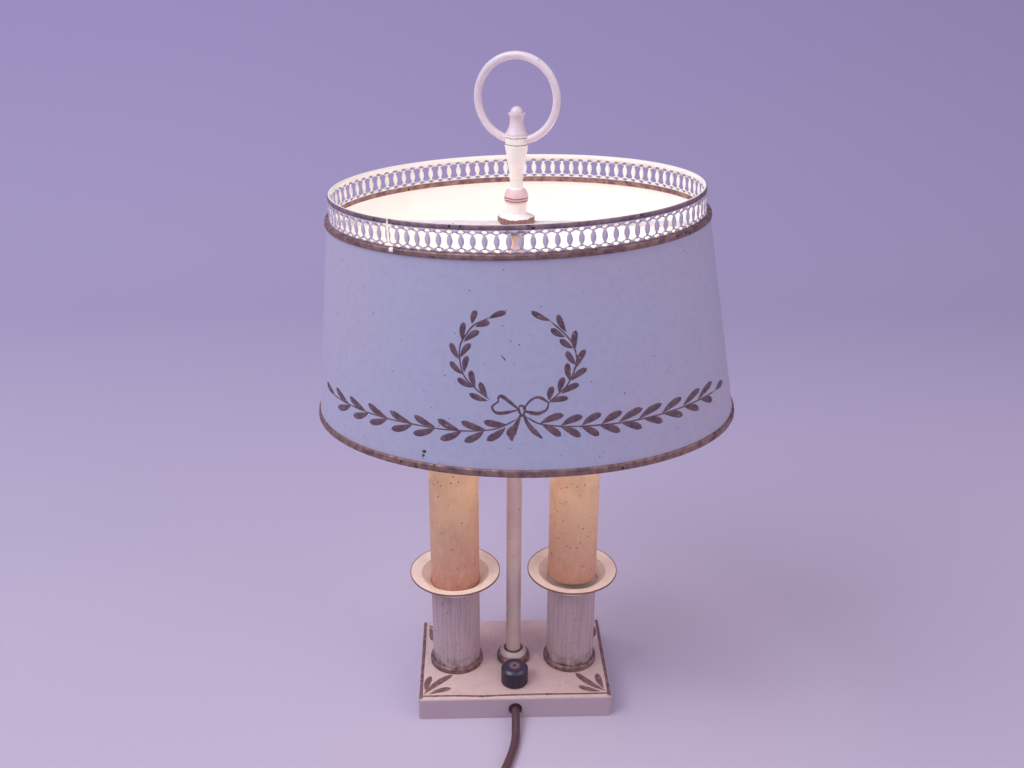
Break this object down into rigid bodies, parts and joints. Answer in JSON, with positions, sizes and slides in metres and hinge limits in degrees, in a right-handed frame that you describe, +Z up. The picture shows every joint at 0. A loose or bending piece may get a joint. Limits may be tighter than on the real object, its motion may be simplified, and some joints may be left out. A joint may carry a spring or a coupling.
{
  "type": "bouillotte lamp",
  "caption": "Table lamp with two candle lights on a low box base, an oval tapered metal shade with a pierced gallery, a ring finial, a turn switch and a mains cord.",
  "frame": {"origin": "middle of the underside of the base, on the table", "axes": "+Z up along the rod, +X along the base towards the right-hand candle, -Y towards the switch and the cord"},
  "size_m": [0.2543, 0.3429, 0.4194],
  "materials": {
    "cream_paint": "satin aged cream paint with small dark speckles",
    "gold_paint": "dull gold-brown paint",
    "gallery_paint": "pierced strip in dull gold paint",
    "finial_paint": "satin cream paint with brown lines",
    "ring_metal": "smooth satin",
    "shade_paint": "satin pale grey-blue paint with gold-brown ornament",
    "candle_tan": "smooth tan",
    "black_plastic": "ribbed black",
    "steel": "plain",
    "brass": "plain",
    "felt": "felt",
    "bulb_glass": "frosted",
    "cord_brown": "smooth brown flex"
  },
  "bodies": {
    "base": {"base_shell": "cream_paint", "weight_plate": "steel", "felt_pad": "felt", "rod": "cream_paint", "rod_nuts": "steel", "riser_nuts": "steel", "rod_collar": "gold_paint", "rod_hub": "cream_paint", "switch_body": "black_plastic", "switch_bushing": "steel", "switch_nut": "steel", "seat_washer": "cream_paint", "seat_nut": "steel", "cord_grommet": "cord_brown", "cord_inner": "cord_brown", "cord_lead": "cord_brown", "cord_coil": "cord_brown", "cord_tail": "cord_brown", "plug_neck": "cord_brown", "plug_body": "cord_brown", "plug_blades": "brass", "foot_ring_left": "gold_paint", "column_left": "cream_paint", "riser_left": "steel", "drip_pan_left": "cream_paint", "holder_cap_left": "brass", "holder_body_left": "black_plastic", "screw_shell_left": "brass", "holder_contact_left": "brass", "foot_ring_right": "gold_paint", "column_right": "cream_paint", "riser_right": "steel", "drip_pan_right": "cream_paint", "holder_cap_right": "brass", "holder_body_right": "black_plastic", "screw_shell_right": "brass", "holder_contact_right": "brass"},
    "switch_turner": {"switch_shaft": "steel", "switch_knob": "black_plastic"},
    "shade": {"shade_shell": "shade_paint", "lower_hem": "gold_paint", "upper_hem": "gold_paint", "gallery_strip": "gallery_paint", "gallery_rim": "gold_paint", "shade_strap": "cream_paint"},
    "finial_lead": {"lead_washer": "cream_paint"},
    "finial": {"finial_flange": "finial_paint", "finial_ball": "finial_paint", "finial_stud": "steel", "finial_bead": "finial_paint", "finial_cone": "finial_paint", "ring_collar": "finial_paint", "carrying_ring": "ring_metal", "finial_tip": "finial_paint"},
    "cover_left": {"candle_cover_left": "candle_tan"},
    "cover_right": {"candle_cover_right": "candle_tan"},
    "bulb_left": {"bulb_cap_left": "brass", "bulb_glass_left": "bulb_glass"},
    "bulb_right": {"bulb_cap_right": "brass", "bulb_glass_right": "bulb_glass"}
  },
  "joints": [
    {"name": "switch_turn", "type": "hinge", "parent": "base", "child": "switch_turner", "pos_m": [0, -0.0255, 0.016], "axis": [0, 0, 1], "continuous": true},
    {"name": "shade_swivel", "type": "hinge", "parent": "base", "child": "shade", "pos_m": [0, 0, 0.3229], "axis": [0, 0, 1], "continuous": true},
    {"name": "finial_rise", "type": "slide", "parent": "base", "child": "finial_lead", "axis": [0, 0, 1], "range_m": [0, 0.00939]},
    {"name": "finial_turn", "type": "hinge", "parent": "finial_lead", "child": "finial", "pos_m": [0, 0, 0.326], "axis": [0, 0, 1], "range_deg": [0, 3600]},
    {"name": "cover_left_lift", "type": "slide", "parent": "base", "child": "cover_left", "axis": [0, 0, 1], "range_m": [0, 0.0064]},
    {"name": "cover_right_lift", "type": "slide", "parent": "base", "child": "cover_right", "axis": [0, 0, 1], "range_m": [-0.0064, 0]},
    {"name": "bulb_left_out", "type": "slide", "parent": "base", "child": "bulb_left", "axis": [0, 0, 1], "range_m": [0, 0.036]},
    {"name": "bulb_right_out", "type": "slide", "parent": "base", "child": "bulb_right", "axis": [0, 0, 1], "range_m": [0, 0.036]}
  ],
  "couplings": [
    {"joint": "finial_turn", "follows": "finial_rise", "rad_per_m": 6684.2}
  ]
}
